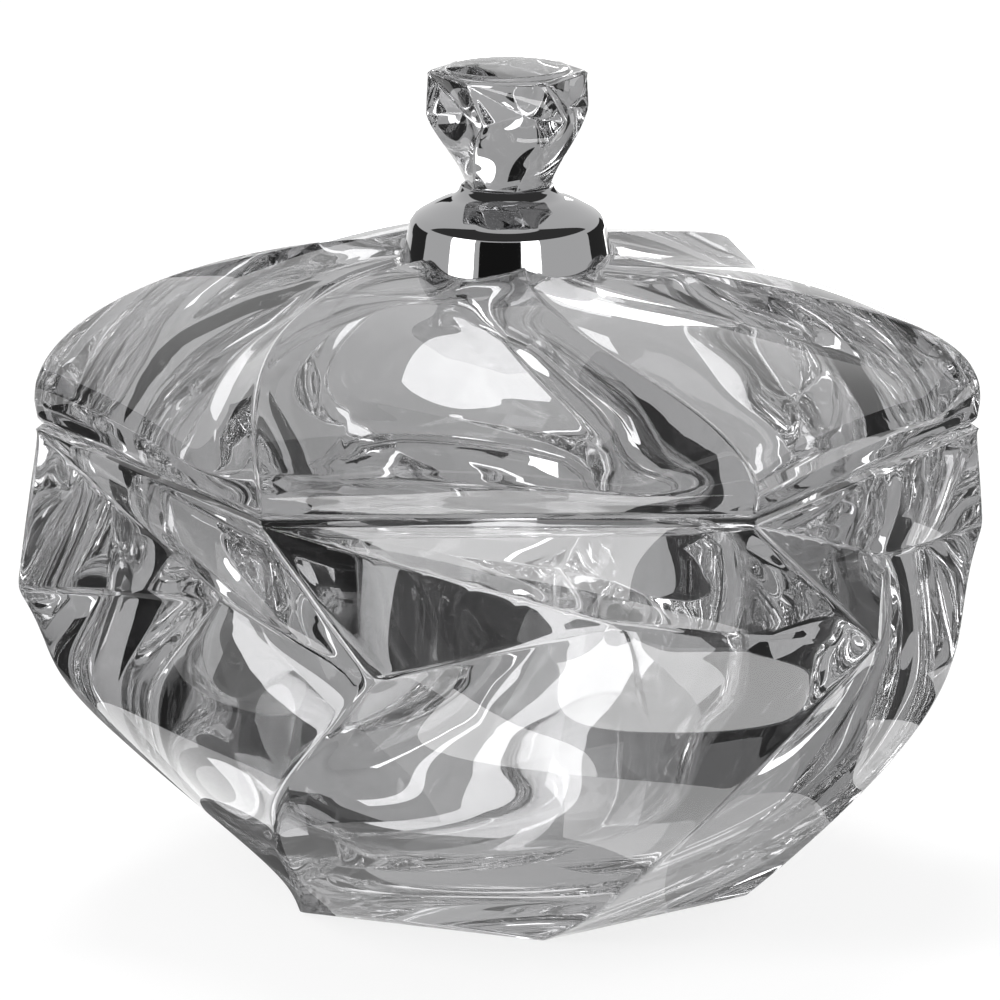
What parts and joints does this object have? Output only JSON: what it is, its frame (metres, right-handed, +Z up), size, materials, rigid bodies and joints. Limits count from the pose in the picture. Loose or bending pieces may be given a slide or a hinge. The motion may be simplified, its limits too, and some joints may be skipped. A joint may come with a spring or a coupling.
{
  "type": "lidded candy dish",
  "caption": "Six-sided pressed crystal candy dish with twisted facets, a loose domed lid with swirled ridges, and a faceted crystal knob on a polished metal collar.",
  "frame": {"origin": "centre of the foot, on the surface that the dish stands on", "axes": "+Z up along the axis of the dish; +X through a corner of the rim; -Y faces the camera"},
  "size_m": [0.159, 0.1594, 0.1347],
  "materials": {
    "bowl_crystal": "pressed crystal glass, fire-polished, clear with a smoky grey cast",
    "lid_crystal": "pressed crystal glass, fire-polished, clear with a smoky grey cast",
    "collar_metal": "mirror-polished silvery plating",
    "knob_crystal": "pressed crystal glass, fire-polished, clear with a smoky grey cast"
  },
  "bodies": {
    "root": {"bowl": "bowl_crystal", "lid": "lid_crystal", "collar": "collar_metal", "knob": "knob_crystal"}
  },
  "joints": []
}
